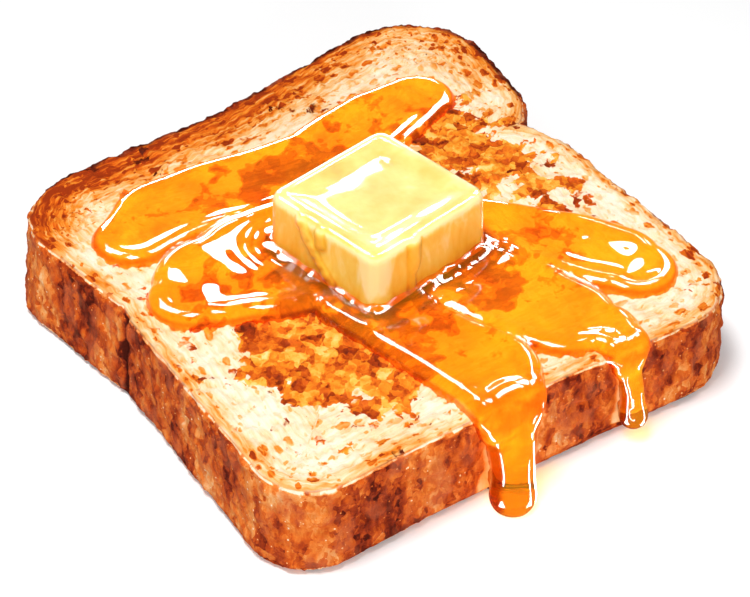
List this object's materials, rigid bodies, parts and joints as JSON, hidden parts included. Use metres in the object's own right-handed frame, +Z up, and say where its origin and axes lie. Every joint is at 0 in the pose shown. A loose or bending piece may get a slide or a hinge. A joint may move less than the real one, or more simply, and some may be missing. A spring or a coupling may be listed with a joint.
{
  "type": "honey toast",
  "caption": "Thick slice of toasted tin loaf lying flat, with a square pat of butter in the middle and honey that runs in tongues round it and drips over the heel.",
  "frame": {"origin": "on the surface that the slice lies on, under the middle of the whole part's bounding box", "axes": "+X along the heel (the straight bottom edge of the slice), +Y from the heel towards the crown, +Z up, from the slice's underside to the butter"},
  "size_m": [0.1384, 0.1502, 0.0398],
  "materials": {
    "bread": "rough",
    "butter": "satin",
    "honey": "gloss"
  },
  "bodies": {
    "root": {"toast_slice": "bread", "butter_pat": "butter", "honey": "honey"}
  },
  "joints": []
}
